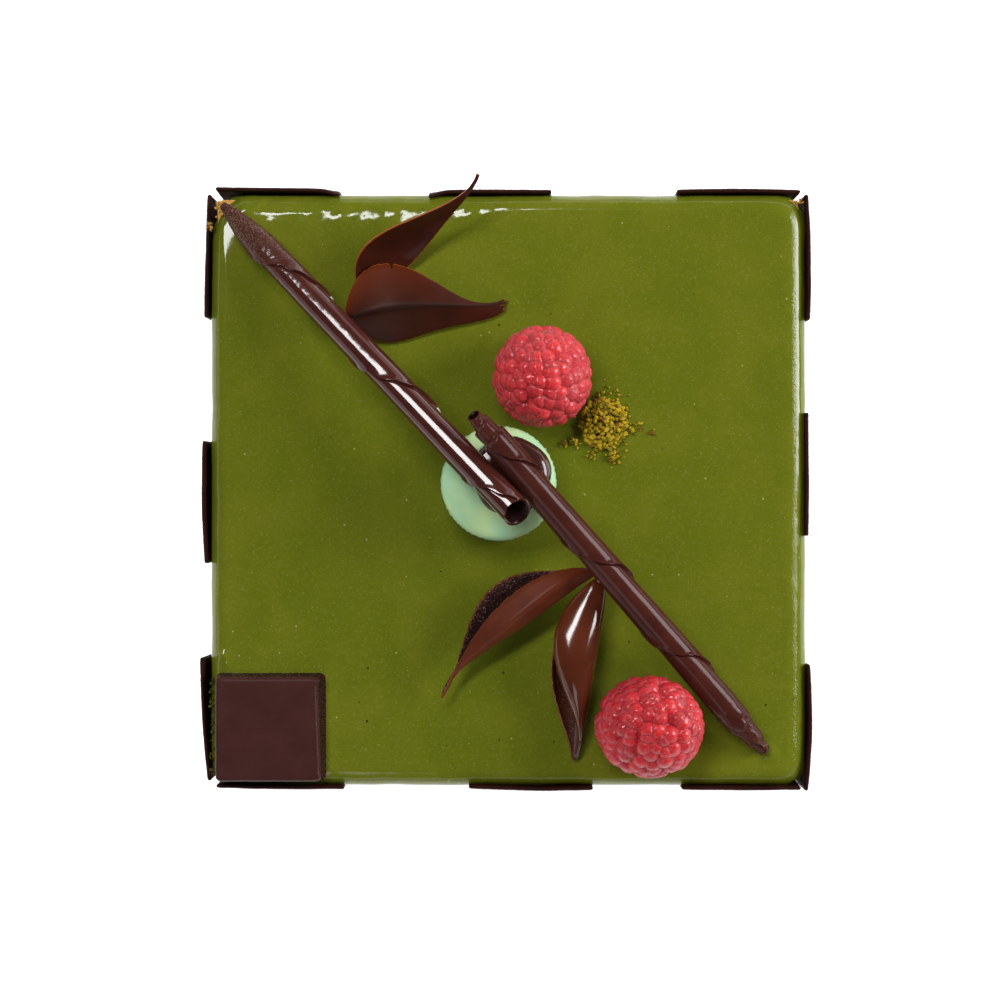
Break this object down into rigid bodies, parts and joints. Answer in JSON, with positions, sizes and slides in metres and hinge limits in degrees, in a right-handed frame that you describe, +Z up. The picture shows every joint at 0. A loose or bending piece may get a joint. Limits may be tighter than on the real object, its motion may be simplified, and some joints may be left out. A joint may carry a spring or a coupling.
{
  "type": "opera cake",
  "caption": "Square green-glazed opera cake with chocolate plaques round the sides, a corner tile, a macaron, rolled chocolate sticks, chocolate leaves, berries and pistachio crumbs",
  "frame": {"origin": "centre of the cake's flat base, which rests on the table", "axes": "+Z up; +Y towards the side at the top of the picture, +X towards the side at its right, so the corner tile is at -X -Y"},
  "size_m": [0.1455, 0.1452, 0.0611],
  "materials": {
    "sponge": "soft, open crumb",
    "green_glaze": "mirror gloss glaze, olive green",
    "dark_chocolate": "satin to glossy dark chocolate",
    "macaron_shell": "smooth matte baked shell, mint green",
    "macaron_filling": "soft cream",
    "berry_red": "juicy, slightly velvety",
    "pistachio": "dry crumbs"
  },
  "bodies": {
    "root": {"sponge": "sponge", "glaze": "green_glaze", "plaque_north_1": "dark_chocolate", "plaque_north_2": "dark_chocolate", "plaque_north_3": "dark_chocolate", "plaque_east_1": "dark_chocolate", "plaque_east_2": "dark_chocolate", "plaque_east_3": "dark_chocolate", "plaque_south_1": "dark_chocolate", "plaque_south_2": "dark_chocolate", "plaque_south_3": "dark_chocolate", "plaque_west_1": "dark_chocolate", "plaque_west_2": "dark_chocolate", "plaque_west_3": "dark_chocolate", "corner_tile": "dark_chocolate", "macaron_bottom": "macaron_shell", "macaron_filling": "macaron_filling", "macaron_top": "macaron_shell", "chocolate_dab": "dark_chocolate", "stick_1": "dark_chocolate", "stick_2": "dark_chocolate", "leaf_1": "dark_chocolate", "leaf_2": "dark_chocolate", "leaf_3": "dark_chocolate", "leaf_4": "dark_chocolate", "berry_1": "berry_red", "berry_2": "berry_red", "pistachio_crumbs": "pistachio"}
  },
  "joints": []
}
